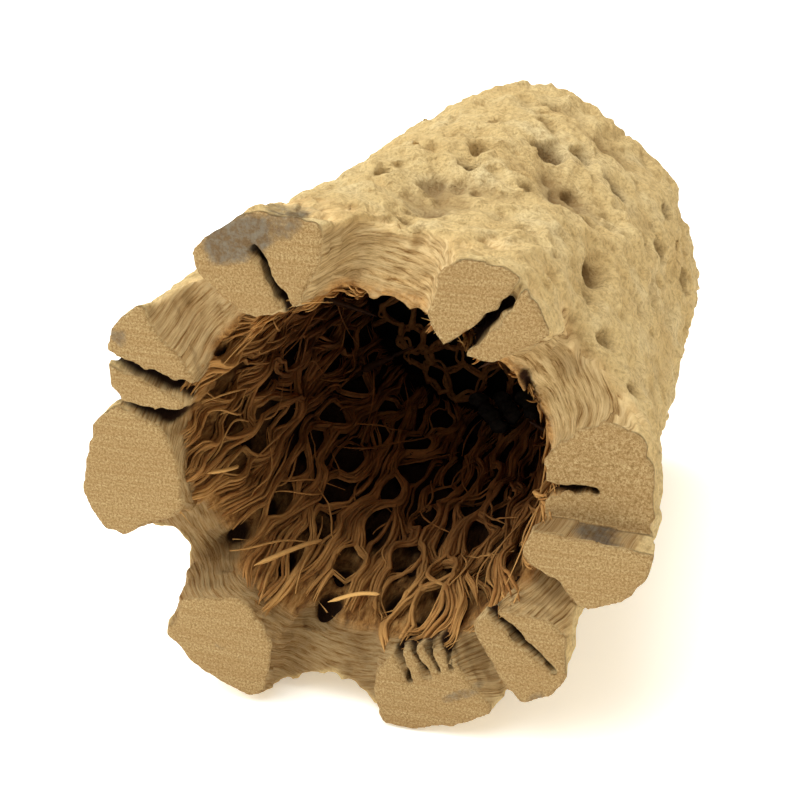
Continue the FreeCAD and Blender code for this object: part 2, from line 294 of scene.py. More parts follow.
# Cracks in the sawn faces: from and to as (angle, radius), width at each, depth.
CRACKS = (
    ((107.8, 19.5), (110.8, 27.2), 1.5, 0.8, 9.0),
    ((57.5, 19.5), (54.4, 27.3), 2.0, 1.0, 8.0),
    ((54.6, 25.0), (54.7, 31.0), 1.5, 0.9, 1.5),
    ((165.0, 28.5), (165.4, 21.5), 0.6, 1.6, 4.0),
    ((3, 16.8), (4.5, 24.9), 2.1, 1.0, 11.0),
    ((156.4, 31.0), (152.8, 19.5), 1.1, 2.1, 9.0),
    ((321.2, 19.8), (320.6, 28.6), 1.3, 0.8, 8.0),
    ((24.0, 20.5), (38.0, 21.2), 0.6, 0.6, 14.0),
)
# Slots torn in the face of rib E, which leave a row of teeth, in the same form.
TEETH = (
    ((284.6, 18.1), (285.8, 23.3), 0.9, 0.6, 7.0),
    ((288.9, 18), (291.4, 22.8), 0.9, 0.6, 7.0),
    ((295.1, 18), (295, 22.9), 0.9, 0.6, 7.0),
    ((300.6, 18), (298.8, 22.7), 0.9, 0.6, 7.0),
)

# Pits in the skin: angle, depth, half width, half length, how deep.
PITS = (
    (36, 7.5, 2.1, 1.9, 3.2), (32, 15, 1.3, 1.6, 1.8), (42, 24, 1.7, 2.3, 2.6), (40, 18, 1.0, 1.3, 1.2),
    (22, 38, 1.4, 1.8, 2.4), (13, 27, 1.3, 2.6, 1.5), (27, 30, 1.0, 1.4, 1.5), (35, 45, 1.5, 2.0, 2.6),
    (48, 51, 1.8, 2.0, 3.0), (53, 64, 2.0, 2.6, 3.0), (44, 58, 1.2, 1.6, 2.0), (28, 52, 1.6, 1.8, 2.4),
    (59, 35, 1.2, 1.3, 2.4), (55.5, 39, 1.2, 1.3, 2.6), (64, 30, 1.4, 1.4, 2.2), (67, 46, 1.7, 2.8, 3.2),
    (60, 52, 1.3, 1.7, 2.2), (72, 56, 1.6, 2.0, 2.4), (80, 36, 1.5, 1.8, 2.8), (84, 24, 1.4, 1.8, 1.4),
    (77, 14, 1.3, 1.2, 1.2), (87, 13, 2.0, 0.7, 1.3), (90, 44, 1.2, 1.6, 2.2), (83, 52, 1.4, 1.7, 2.2),
    (97, 24, 1.0, 1.6, 1.6), (101, 36, 1.2, 1.7, 1.8), (52, 20, 1.0, 1.3, 1.1), (47, 33, 1.1, 1.5, 1.3),
    (74, 68, 1.6, 1.8, 2.4), (84, 42, 0.7, 0.9, 1.2), (81, 17, 1.1, 1.2, 1.0), (75, 24, 0.7, 1.6, 1.3),
    (40, 38, 1.0, 1.5, 1.6), (11, 64, 1.5, 2.0, 2.2), (60, 60, 1.1, 1.4, 1.8), (33, 62, 1.2, 1.8, 1.9),
)
PIT_WIDER, PIT_DEEPER = 1.25, 1.45   # softened edges make a pit look smaller than its size here
# Broad hollows round groups of pits: angle, depth, radius, how deep.
HOLLOWS = (
    (57, 37, 6.0, 2.0), (36, 9, 4.5, 1.4), (84, 24, 4.5, 1.1), (40, 50, 6.0, 1.4), (66, 47, 4.0, 1.0),
    (15, 28, 5.0, 1.0), (22, 40, 4.5, 1.0), (53, 65, 5.5, 1.5), (118, 14, 9.0, 1.3), (74, 68, 4.5, 1.2),
    (42, 22, 4.0, 0.9), (30, 33, 4.5, 0.9), (81, 18, 4.0, 0.8),
)


def lattice_places(step_angle, step_depth, first, last, wobble, seed):
    """Staggered places round the stem, as (angle, depth), each moved a little at random."""
    rng = np.random.default_rng(seed)
    count = int(round(360 / step_angle))
    for column in range(count):
        depth = first + (column % 2) * step_depth / 2
        while depth < last:
            yield column * 360 / count + rng.normal(0, wobble), depth + rng.normal(0, wobble * 0.4)
            depth += step_depth


def all_pits():
    """The listed pits, and others on the rest of the skin."""
    rng = np.random.default_rng(11)
    for angle, depth, width, length, deep in PITS:
        yield angle, depth, width * PIT_WIDER, length * PIT_WIDER, deep * PIT_DEEPER
    for angle, depth in lattice_places(18.5, 10.5, 9, 76, 3.0, 5):
        crowded = any(math.hypot(turn(angle - a) * 0.5, depth - d) < 5.0 for a, d, *_ in PITS)
        if not crowded:
            width = rng.uniform(0.8, 2.0)
            yield angle, depth, width, width * rng.uniform(1.0, 1.5), rng.uniform(1.2, 3.2)


# ---- eyes: holes in the inner net

EYE_COLUMN = 18.0              # degrees from one column of eyes to the next
EYE_ROW = 8.0                  # millimetres from one eye to the next in a column
eye_rng = np.random.default_rng(23)
# Angle, depth, half width and half length.
EYES = [
    (angle, depth, eye_rng.uniform(0.9, 1.9), eye_rng.uniform(2.0, 3.3))
    for angle, depth in lattice_places(EYE_COLUMN, EYE_ROW, 10, 66, 2.4, 29)
]

# ---- the stem as a solid field

STEP = 0.3  # grid step near the open end, in millimetres
cross = np.arange(-32.4, 32.4 + STEP / 2, STEP)
# The steps in depth grow wider away from the open end.
depths = [-0.9]
while depths[-1] < LENGTH + 1:
    depths.append(depths[-1] + STEP * (0.9 + 0.8 * min(1, max(0, (depths[-1] - 15) / 35))))
depths = np.array(depths)
grid_x, grid_z = np.meshgrid(cross, cross, indexing="ij")
grid_radius = np.hypot(grid_x, grid_z)
grid_angle = angle_of(grid_x, grid_z)


def soften(plane, reach):
    """A cross-section plane blurred over about this many millimetres, which rounds its corners."""
    steps = np.arange(-3 * reach, 3 * reach + STEP / 2, STEP)
    window = np.exp(-0.5 * (steps / reach) ** 2)
    window /= window.sum()
    padded = np.pad(plane, ((len(window) // 2, (len(window) - 1) // 2),) * 2, mode="edge")
    rows = np.apply_along_axis(np.convolve, 0, padded, window, "valid")
    return np.apply_along_axis(np.convolve, 1, rows, window, "valid")


def crack_on_section(start, end, wide_start, wide_end):
    """Distance to the middle line of a crack, and half the crack's width there, all over the section."""
    away, along = line_distance(*on_section(*start), *on_section(*end), grid_x, grid_z)
    return away, (wide_start * (1 - along) + wide_end * along) / 2


# Distance to the nearest sawn rib, negative on it.
ribs_2d = np.minimum.reduce([polygon_distance(corners, grid_x, grid_z) for corners in RIB_FACES.values()])
ribs_2d = soften(ribs_2d, 0.7) - 0.2
# The saw left rib C further back than the others: by how much, its middle angle, its half angle.
SET_BACK, SET_BACK_MIDDLE, SET_BACK_HALF = 3.6, 16.5, 21.0
from_rib_c = np.abs(turn(grid_angle - SET_BACK_MIDDLE))
set_back_2d = SET_BACK * smoothstep(SET_BACK_HALF + 0.3, SET_BACK_HALF - 0.2, from_rib_c)
# Distance to the edge of the nearest deep crack, negative in it.
crack_2d = np.full(grid_x.shape, 9.0)
for *line, deep in CRACKS + TEETH:
    if deep > 3:
        away, half_width = crack_on_section(*line)
        crack_2d = np.minimum(crack_2d, away - half_width)


def arch_depth(angle, radius):
    """Depth of the arch floor between the ribs."""
    rim = outline_near(angle)
    u = np.clip((radius - BORE) / (rim - BORE), 0, 1)
    return arch_inner(angle) * (1 - u) ** 1.5 + arch_outer(angle) * (1 - (1 - u) ** 1.5)


arch_2d = arch_depth(grid_angle, grid_radius)
layer_wave = RingNoise(9.0, 4.0, 4.0, 8)


def layer_stack(angle, radius, depth):
    """Height in the stack of the wood's layers, in millimetres."""
    return radius - layer_lean(angle) * depth + 0.20 * layer_wave(angle, radius, depth)


def block(angle, depth, reach):
    """The part of the grid near a place on the stem, as slices."""
    x, z = on_section(angle, np.array([18, 33]))
    ranges = ((cross, x.min(), x.max()), (cross, z.min(), z.max()), (depths, depth, depth))
    return tuple(slice(*np.searchsorted(axis, (low - reach, high + reach))) for axis, low, high in ranges)


def spindle(where, angle, depth, half_width, half_length, centre, half_height):
    """Distance-like value of a rounded hole set radially in the wall, negative inside."""
    section, along = where[:2], where[2]
    arc = np.radians(turn(grid_angle[section] - angle)) * grid_radius[section]
    up = grid_radius[section] - centre
    flat = (arc / half_width) ** 2 + (up / half_height) ** 2
    value = np.sqrt(flat[:, :, None] + ((depths[along] - depth) / half_length) ** 2)
    return (value - 1) * min(half_width, half_length, half_height)


def skin_field(angle, radius, depth, grains):
    """How far outside the skin a place is: outline, broad hollows, grain and pits."""
    axes = (cross, cross, depths)
    outline = outer_radius(angle, depth)
    outline = outline + 0.45 * noise_grid(axes, (9, 9, 12), 1) * smoothstep(3, 20, depth)
    skin = radius - outline.astype(np.float32)
    for middle, place, reach, deep in HOLLOWS:
        where = block(middle, place, reach + 3)
        arc = np.radians(turn(grid_angle[where[:2]] - middle)) * SKIN_RADIUS
        spread = (arc[:, :, None] ** 2 + (depths[where[2]] - place) ** 2) / reach**2
        skin[where] += deep * np.exp(-(spread**1.5))
    rough = 0.40 * np.abs(noise_grid(axes, (2.6, 2.6, 3.4), 3))
    rough = rough + 0.30 * np.abs(noise_grid(axes, (1.3, 1.3, 1.5), 7))
    skin += rough * (0.25 + 0.75 * smoothstep(0, 4, depth)) + 0.13 * grains
    lumps = noise_grid(axes, (1.8, 1.8, 2.0), 9)
    for middle, place, half_width, half_length, deep in all_pits():
        where = block(middle, place, max(half_width, half_length) + 2.0)
        top = float(outer_radius(middle, place)) + 0.6
        hole = spindle(where, middle, place, half_width, half_length, top, deep + 0.6)
        skin[where] = smooth_max(skin[where], -hole - 0.34 * lumps[where], 0.8)
    return skin


def bore_field(angle, radius, depth, grains):
    """How far inside the bore a place is: fibrous wall, narrowed at the mouth, with the eyes sunk in it."""
    fibre = RingNoise(2.6, 1.6, 7.0, 4)(angle, radius, depth)
    bore = 20.7 - 2.4 * np.exp(-np.maximum(depth, 0) / 3.0)
    wall = bore - radius + (0.10 + 0.22 * smoothstep(6, 12, depth)) * fibre + 0.1 * grains
    for middle, place, half_width, half_length in EYES:
        where = block(middle, place, half_length + 1.5)
        hole = spindle(where, middle, place, half_width * 1.15, half_length * 1.1, NET_RADIUS, 4.3)
        wall[where] = smooth_max(wall[where], -hole, 0.7)
    return wall


def front_field(angle, radius, depth, grains):
    """How far in front of the sawn ribs and the worn arches a place is, with the cracks cut in."""
    wavy = layer_wave(angle, radius, depth)
    crumbs = RingNoise(3.0, 1.0, 1.0, 6)(angle, radius, depth)
    ridge = np.abs(layer_stack(angle, radius, depth) / 0.95 % 1 - 0.5) - 0.25
    relief = (0.26 * ridge + 0.10 * wavy) * (0.1 + 0.9 * smoothstep(0, 2.0, depth)) + 0.11 * crumbs
    behind_saw = np.maximum(depth - set_back_2d[:, :, None], 0)
    ribs = ribs_2d[:, :, None] - 0.22 * behind_saw + relief
    floor = (arch_2d[:, :, None] - depth) * 0.9 + relief + 0.06 * grains
    front = smooth_min(ribs, floor, 1.6)
    for *line, deep in CRACKS + TEETH:
        away, half_width = crack_on_section(*line)
        narrowing = np.sqrt(np.clip(1 - depth / deep, 0, 1))
        gap = away[:, :, None] - half_width[:, :, None] * narrowing + 0.12 * crumbs
        gap = np.maximum(gap, (depth - deep) * 0.5)
        front = np.maximum(front, -gap)
    return front


def stem_field():
    """The stem on the grid, negative in the wood."""
    angle = grid_angle[:, :, None]
    radius = grid_radius[:, :, None].astype(np.float32)
    depth = depths[None, None, :].astype(np.float32)
    grains = noise_grid((cross, cross, depths), (0.75, 0.75, 0.85), 2)
    rim = 0.35 + (worn_lip(grid_angle) * smoothstep(0.2, 2.2, ribs_2d))[:, :, None]
    place = (angle, radius, depth, grains)
    solid = smooth_max(bore_field(*place), front_field(*place), rim)
    solid = smooth_max(skin_field(*place), solid, 0.45)
    seat = np.where(depth > PLUG_SEAT_DEPTH, PLUG_RADIUS / scale_at(depth) - radius, -9)
    for cut in (seat, set_back_2d[:, :, None] - depth, depth - LENGTH):
        solid = np.maximum(solid, cut)
    return solid.astype(np.float32)


# ---- meshes from fields and tubes


def surface_of(field, axes):
    """Quads on the zero level of a grid field: one corner in each cell that the surface passes through."""
    inside = field < 0
    count = np.zeros([n - 1 for n in field.shape], np.int8)
    for corner in np.ndindex(2, 2, 2):
        count += inside[tuple(slice(c, c + n - 1) for c, n in zip(corner, inside.shape))]
    cells = np.argwhere((count > 0) & (count < 8))
    number = np.full(count.shape, -1, np.int32)
    number[tuple(cells.T)] = np.arange(len(cells))

    total = np.zeros((len(cells), 3))
    hits = np.zeros(len(cells))
    for axis in range(3):
        for side in range(4):
            start = np.zeros(3, int)
            start[[b for b in range(3) if b != axis]] = side & 1, side >> 1
            end = start + np.eye(3, dtype=int)[axis]
            low = field[tuple((cells + start).T)]
            high = field[tuple((cells + end).T)]
            crossed = (low < 0) != (high < 0)
            share = np.where(crossed, low / np.where(crossed, low - high, 1), 0)
            total += np.where(crossed[:, None], start + share[:, None] * (end - start), 0)
            hits += crossed
    places = cells + total / hits[:, None]
    points = [np.interp(places[:, b], np.arange(len(axes[b])), axes[b]) for b in range(3)]

    quads = []
    for axis in range(3):
        first, second = (axis + 1) % 3, (axis + 2) % 3
        edges = np.argwhere(np.diff(inside, axis=axis))
        keep = (edges[:, first] > 0) & (edges[:, second] > 0)
        keep &= (edges[:, first] < field.shape[first] - 1) & (edges[:, second] < field.shape[second] - 1)
        edges = edges[keep]
        ring = []
        for back in ((1, 1), (0, 1), (0, 0), (1, 0)):
            cell = edges.copy()
            cell[:, [first, second]] -= back
            ring.append(number[tuple(cell.T)])
        quad = np.stack(ring, axis=1)
        outward = inside[tuple(edges.T)]
        quad[~outward] = quad[~outward][:, ::-1]
        quads.append(quad)
    return points, np.concatenate(quads)


def new_mesh(name, points_mm, faces):
    """A smooth-shaded object from points in millimetres and equal-sided faces."""
    mesh = bpy.data.meshes.new(name)
    mesh.vertices.add(len(points_mm))
    mesh.vertices.foreach_set("co", (points_mm * MM).astype(np.float32).ravel())
    sides = faces.shape[1]
    mesh.loops.add(faces.size)
    mesh.loops.foreach_set("vertex_index", faces.astype(np.int32).ravel())
    mesh.polygons.add(len(faces))
    mesh.polygons.foreach_set("loop_start", np.arange(0, faces.size, sides, dtype=np.int32))
    mesh.update(calc_edges=True)
    mesh.validate()
    mesh.shade_smooth()
    obj = bpy.data.objects.new(name, mesh)
    bpy.context.collection.objects.link(obj)
    return obj


def paint(obj, name, values):
    """One number per point, read by the materials under that name."""
    layer = obj.data.attributes.new(name, "FLOAT", "POINT")
    layer.data.foreach_set("value", np.asarray(values, np.float32).ravel())


def tubes(name, paths, radii, sides=5, flatten=1.0):
    """Many thin closed strands in one mesh. Each path is rows of points, with a radius at each point."""
    points, faces, shares = [], [], []
    offset = 0
    angles = np.arange(sides) * 2 * np.pi / sides
    for path, radius in zip(paths, radii):
        ahead = np.gradient(path, axis=0)
        ahead /= np.linalg.norm(ahead, axis=1)[:, None] + 1e-9
        inward = -path * (1, 0, 1)
        inward[:, 2] += AXIS_HEIGHT * scale_at(path[:, 1] - NEAR)
        inward += ahead[:, [2, 0, 1]] * 0.01
        inward -= ahead * (inward * ahead).sum(1)[:, None]
        inward /= np.linalg.norm(inward, axis=1)[:, None] + 1e-9
        aside = np.cross(ahead, inward)
        ring = (
            path[:, None]
            + aside[:, None] * (np.cos(angles)[None, :, None] * radius[:, None, None] / flatten)
            + inward[:, None] * (np.sin(angles)[None, :, None] * radius[:, None, None] * flatten)
        )
        count = len(path)
        points.append(ring.reshape(-1, 3))
        index = offset + np.arange(count * sides).reshape(count, sides)
        nxt = np.roll(index, -1, axis=1)
        quad = np.stack([index[:-1], nxt[:-1], nxt[1:], index[1:]], axis=-1).reshape(-1, 4)
        faces.append(quad)
        offset += count * sides
        shares.append(count * sides)
    return new_mesh(name, np.concatenate(points), np.concatenate(faces)), shares


def sample_plane(table, x, z):
    """A value of the cross-section plane at straight-space places."""
    i = np.clip((x - cross[0]) / STEP, 0, len(cross) - 1.001)
    j = np.clip((z - cross[0]) / STEP, 0, len(cross) - 1.001)
    i0, j0 = i.astype(int), j.astype(int)
    fi, fj = i - i0, j - j0
    return (
        table[i0, j0] * (1 - fi) * (1 - fj)
        + table[i0 + 1, j0] * fi * (1 - fj)
        + table[i0, j0 + 1] * (1 - fi) * fj
        + table[i0 + 1, j0 + 1] * fi * fj
    )


# ---- materials


class Shader:
    """A small helper for building node materials by name."""

    def __init__(self, name):
        self.material = bpy.data.materials.new(name)
        self.material.use_nodes = True
        self.nodes = self.material.node_tree.nodes
        self.links = self.material.node_tree.links
        self.surface = self.nodes["Principled BSDF"]
        self.surface.inputs["Specular IOR Level"].default_value = 0.12

    def node(self, kind, settings=(), **inputs):
        made = self.nodes.new("ShaderNode" + kind)
        for key, value in dict(settings).items():
            setattr(made, key, value)
        for key, value in inputs.items():
            self.feed(made, key, value)
        return made

    def feed(self, node, key, value):
        """Sets or links an input, found by its name, or by its number after an underscore."""
        socket = node.inputs[int(key[1:])] if key[0] == "_" else node.inputs[key.replace("_", " ")]
        if isinstance(value, bpy.types.NodeSocket):
            self.links.new(value, socket)
        elif isinstance(value, tuple) and len(value) == 3 and socket.type == "RGBA":
            socket.default_value = (*value, 1)
        else:
            socket.default_value = value

    def math(self, operation, a, b=0.0, c=0.0):
        return self.node("Math", {"operation": operation}, _0=a, _1=b, _2=c).outputs[0]

    def times(self, a, b):
        return self.math("MULTIPLY", a, b)

    def plus(self, a, b):
        return self.math("ADD", a, b)

    def blend(self, factor, a, b):
        """The number a where factor is 0, b where it is 1."""
        return self.math("MULTIPLY_ADD", self.math("SUBTRACT", b, a), factor, a)

    def clamp01(self, a):
        return self.node("Clamp", _0=a).outputs[0]

    def contrast(self, value, gain, offset):
        """The number times gain plus offset, kept between 0 and 1."""
        return self.clamp01(self.math("MULTIPLY_ADD", value, gain, offset))

    def value_of(self, attribute):
        return self.node("Attribute", {"attribute_name": attribute}).outputs["Fac"]

    def mix(self, factor, a, b):
        """The colour a where factor is 0, b where it is 1."""
        return self.node("Mix", {"data_type": "RGBA"}, _0=factor, _6=a, _7=b).outputs[2]

    def position(self):
        """The place on the object, in millimetres."""
        place = self.node("TexCoord").outputs["Object"]
        return self.node("VectorMath", {"operation": "SCALE"}, _0=place, Scale=1 / MM).outputs[0]

    def stretched(self, vector, *by):
        return self.node("VectorMath", {"operation": "MULTIPLY"}, _0=vector, _1=by).outputs[0]

    def noise(self, vector, scale, detail=3.0, rough=0.55):
        node = self.node("TexNoise", Vector=vector, Scale=scale, Detail=detail, Roughness=rough)
        return node.outputs["Fac"]

    def ramp(self, factor, *stops):
        """A colour read from stops: place, red, green, blue."""
        node = self.node("ValToRGB", Fac=factor)
        ramp = node.color_ramp
        for k, (place, *shade) in enumerate(stops):
            element = ramp.elements[k] if k < 2 else ramp.elements.new(place)
            element.position = place
            element.color = (*shade, 1)
        return node.outputs["Color"]

    def bump(self, height, distance, strength=1.0):
        node = self.node("Bump", Height=height, Strength=strength, Distance=distance)
        return node.outputs["Normal"]

    def finish(self, colour, rough, normal=None):
        self.feed(self.surface, "Base_Color", colour)
        self.feed(self.surface, "Roughness", rough)
        if normal is not None:
            self.feed(self.surface, "Normal", normal)
        return self.material


def colour(red, green, blue):
    """A display colour from 0 to 255, as linear light."""
    parts = []
    for part in (red, green, blue):
        p = part / 255
        parts.append(p / 12.92 if p <= 0.04045 else ((p + 0.055) / 1.055) ** 2.4)
    return tuple(parts)


def strata_vector(s, along_layers):
    """Grain of the worn arches: long round the stem, thin across the stack of layers."""
    x, y, z = s.node("SeparateXYZ", _0=s.position()).outputs
    height = s.math("MULTIPLY_ADD", y, (TAPER - 1) / LENGTH * AXIS_HEIGHT, AXIS_HEIGHT * (1 + TAPER) / 2)
    up = s.math("SUBTRACT", z, height)
    radius = s.math("SQRT", s.plus(s.times(x, x), s.times(up, up)))
    round_x, round_z = (s.times(s.math("DIVIDE", part, radius), along_layers) for part in (x, up))
    return s.node("CombineXYZ", _0=round_x, _1=s.value_of("stack"), _2=round_z).outputs[0]


def cactus_material():
    """Straw-tan granular skin, sawn end grain with saw lines and stains, and brown fibrous inner wall, with
    painted shade in the skin's crevices and pits, in the cracks and deep in the bore.
    """
    s = Shader("dried_cactus")
    place = s.position()
    regions = ("sawn", "inner", "arch", "stain", "pit", "deep", "crack")
    sawn, inner, arch, stain, pit, deep, crack = (s.value_of(region) for region in regions)

    # The skin: pale grains, with painted shade in the crevices between them and in the pits.
    blotch = s.noise(place, 0.13, 4)
    crust = s.noise(place, 1.1, 5, 0.7)
    speck = s.noise(place, 4.5, 4, 0.75)
    crumb = s.noise(place, 2.4, 4, 0.72)
    skin = s.ramp(
        blotch, (0.32, *colour(234, 198, 134)), (0.5, *colour(247, 214, 150)), (0.68, *colour(252, 224, 166))
    )
    # Painted shade: the crevices between the grains, low in the bump height, are painted darker brown.
    between = s.mix(0.55, skin, colour(172, 130, 74))
    skin = s.mix(s.contrast(s.plus(s.times(crust, 0.5), s.times(crumb, 0.5)), 7.0, -2.8), between, skin)
    skin = s.mix(s.contrast(speck, 4.0, -2.2), skin, s.mix(0.4, skin, colour(242, 222, 180)))
    # Painted shade in the pits: the further below the skin's outline, the darker brown.
    skin = s.mix(s.times(pit, 0.7), skin, colour(138, 98, 52))

    # The sawn faces: fine end grain under straight saw lines, with grey stains.
    end_grain = s.noise(place, 4.0, 6, 0.85)
    saw = s.noise(s.stretched(place, 0.07, 1.0, 2.2), 1.3, 3, 0.6)
    face = s.ramp(
        end_grain, (0.38, *colour(116, 88, 52)), (0.5, *colour(158, 130, 86)), (0.62, *colour(194, 169, 124))
    )
    face = s.mix(s.contrast(saw, 3.0, -1.1), s.mix(0.4, face, colour(134, 98, 56)), face)
    patch = s.noise(place, 0.45, 5, 0.65)
    grime = s.contrast(s.plus(stain, patch), 3.0, -2.7)
    grime = s.times(s.times(grime, s.math("GREATER_THAN", stain, 0.04)), 0.8)
    soot_and_shade = s.ramp(s.noise(place, 1.1, 5, 0.7), (0.42, *colour(90, 70, 50)), (0.6, *colour(106, 101, 91)))

    # The worn arches: layers of pale and brown wood.
    layer = s.noise(strata_vector(s, 3.0), 3.0, 6, 0.75)
    layered = s.ramp(
        layer, (0.35, *colour(136, 96, 50)), (0.45, *colour(202, 164, 108)), (0.58, *colour(236, 204, 148))
    )
    layered = s.mix(s.times(s.value_of("brown"), 0.5), layered, colour(120, 80, 38))

    # The wall of the bore: brown streaks along the stem, with painted shade that darkens it with depth and in
    # the eyes.
    streak = s.noise(s.stretched(place, 1.0, 0.16, 1.0), 1.3, 5, 0.68)
    wall = s.ramp(
        streak, (0.34, *colour(104, 64, 30)), (0.5, *colour(166, 118, 64)), (0.66, *colour(204, 156, 94))
    )
    # Painted shade: the wall is painted near black-brown deep in the bore and in the eyes.
    wall = s.mix(deep, wall, colour(46, 28, 17))

    base = s.mix(arch, skin, layered)
    base = s.mix(inner, base, wall)
    base = s.mix(sawn, base, face)
    base = s.mix(s.times(grime, s.math("SUBTRACT", 1.0, inner)), base, soot_and_shade)
    # Painted shade: the inside of the deep cracks is painted near black-brown.
    base = s.mix(crack, base, colour(46, 26, 13))

    on_skin = s.plus(s.plus(s.times(crust, 1.4), s.times(speck, 0.28)), s.times(crumb, 0.65))
    on_face = s.plus(s.times(end_grain, 0.10), s.times(saw, 0.12))
    on_arch = s.plus(s.times(layer, 0.9), s.times(speck, 0.10))
    height = s.blend(arch, on_skin, on_arch)
    height = s.blend(inner, height, s.times(streak, 0.8))
    height = s.blend(sawn, height, on_face)
    return s.finish(base, 0.92, s.bump(height, MM))


def fibre_material(name, pale, dark):
    """Dry plant fibre: each strand has its own tone, and painted shade darkens and reddens it with depth."""
    s = Shader(name)
    tone, deep = s.value_of("tone"), s.value_of("deep")
    streak = s.noise(s.stretched(s.position(), 1.0, 0.25, 1.0), 2.0, 4, 0.65)
    mixed = s.clamp01(s.plus(s.times(tone, 0.75), s.math("MULTIPLY_ADD", streak, 0.8, -0.3)))
    base = s.mix(mixed, dark, pale)
    # Painted shade: strands deep in the bore are painted darker and redder.
    base = s.mix(deep, base, s.mix(mixed, colour(96, 56, 30), colour(196, 130, 74)))
    return s.finish(base, 0.85, s.bump(streak, 0.12 * MM, 0.7))


def simple_material(name, dark, pale, scale, rough, bump_mm, stretch=(1, 1, 1), coat=0.0):
    """A mottled finish between two colours, painted near black where a piece is marked for painted shade."""
    s = Shader(name)
    place = s.stretched(s.position(), *stretch)
    tone = s.noise(place, scale, 5, 0.65)
    base = s.ramp(tone, (0.3, *dark), (0.7, *pale))
    # Painted shade: near black where the piece is marked for it, as on the plug's inside face.
    base = s.mix(s.value_of("soot_and_shade"), base, colour(16, 11, 7))
    s.surface.inputs["Coat Weight"].default_value = coat
    return s.finish(base, rough, s.bump(tone, bump_mm * MM, 0.9))


def dress(obj, material, slot, *nodes):
    """Gives a piece its finish, and lets it stand for its CAD nodes."""
    obj.data.materials.clear()
    obj.data.materials.append(material)
    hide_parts(*nodes)


# ---- the stem

# Stains on the sawn faces: angle, radius, reach round the stem, reach across, strength, least and greatest
# depth.
STAINS = (
    (113, 28.6, 5.0, 2.6, 1.0, 0, 9),
    (104, 29.0, 3.5, 2.2, 0.7, 0, 9),
    (354.6, 25.5, 2.2, 3.4, 0.75, 0.4, 3.5),
    (298, 26.0, 3.4, 1.0, 0.6, 0, 9),
    (236, 27.0, 5.0, 0.8, 0.35, 0, 9),
    (232, 24.5, 4.0, 0.6, 0.3, 0, 9),
    (313, 29.6, 2.4, 0.8, 0.6, 0, 9),
    (150, 29.0, 1.4, 1.6, 0.6, 0, 9),
)


def stained(angle, radius, depth):
    """How strong the strongest stain is at each place."""
    stain = np.zeros(len(radius))
    for middle, ring, around, across, strength, least, greatest in STAINS:
        spread = (np.radians(turn(angle - middle)) * ring / around) ** 2 + ((radius - ring) / across) ** 2
        within = (depth >= least) & (depth <= greatest)
        stain = np.maximum(stain, strength * np.exp(-(spread**1.5)) * within)
    return stain * smoothstep(9, 4, depth)


def make_stem(material):
    """The stem's surface, painted with where each kind of finish goes."""
    (x, z, depth), quads = surface_of(stem_field(), (cross, cross, depths))
    radius, angle = np.hypot(x, z), angle_of(x, z)
    points = np.clip(from_straight(x, z, depth), *in_mm(cad_bounds))
    stem = new_mesh("cactus_stem", points, quads[:, ::-1])

    from_arch = depth - sample_plane(arch_2d, x, z)
    from_saw = depth - sample_plane(set_back_2d, x, z)
    rib = sample_plane(ribs_2d, x, z)
    skin_gap = outer_radius(angle, depth) - radius
    # The inside of the deep cracks, behind the sawn face, which gets painted shade.
    crack = smoothstep(0.45, 0.05, sample_plane(crack_2d, x, z)) * smoothstep(0.5, 2.2, from_saw)
    # The band between rib C and the rib below it, which the saw did not reach.
    step_wall = (np.abs(turn(angle + 6)) < 2.2) & (depth > 0.4) & (depth < 3.3)
    sawn_near = np.where(step_wall, 0, smoothstep(0.45, 0.2, from_saw))
    sawn_far = smoothstep(LENGTH - 0.25, LENGTH - 0.05, depth)
    arch = smoothstep(3.6, 1.8, from_arch) * smoothstep(-0.6, 0.3, rib + 0.4 * from_saw)
    arch = arch * smoothstep(0.4, 1.4, skin_gap)
    inner = smoothstep(26.5, 25.5, radius) * smoothstep(2.6, 3.4, skin_gap) * smoothstep(2.5, 6.0, depth)
    inner = inner * (1 - arch * smoothstep(20.8, 22.0, radius))
    worn_skin = smoothstep(1.2, 2.4, skin_gap) * (depth < 12)
    paint(stem, "sawn", sawn_near + sawn_far)
    paint(stem, "inner", inner)
    paint(stem, "arch", np.clip(np.maximum(arch, worn_skin), 0, 1))
    paint(stem, "stain", stained(angle, radius, depth))
    # Painted shade inside the deep cracks.
    paint(stem, "crack", crack * (depth < 11))
    paint(stem, "brown", np.maximum(smoothstep(0.5, 2.3, worn_lip(angle)), 0.8 * step_wall))
    paint(stem, "stack", layer_stack(angle, radius, depth))
    # Painted shade in the pits: grows with how far below the skin's outline a place lies.
    paint(stem, "pit", smoothstep(0.9, 3.0, skin_gap) * (depth > 3) * (radius > 23))
    # Painted shade: how much the bore's wall is darkened, growing with depth and into the eyes.
    paint(stem, "deep", np.maximum(smoothstep(2, 34, depth), smoothstep(21.2, 22.6, radius)) * inner)
    dress(stem, material, "dried_cactus", "cactus_tube")
    return stem


# ---- the inner net of fibres

PEBBLE_LANE = 32.0             # half angle about the bottom that stays clear for the pebbles
BUNDLES = 150
STRANDS = 6
STRAYS = 130
FRAYS = 110
# Loose splinters on the net: from and to as (angle, depth), lift of the free end, half width, tone.
SPLINTERS = (
    ((254, 7), (272, 8), 2.2, 0.3, 1.3),
    ((226, 5), (240, 16), 1.0, 0.26, 1.1),
    ((190, 6), (196, 12), 0.8, 0.2, 1.3),
)


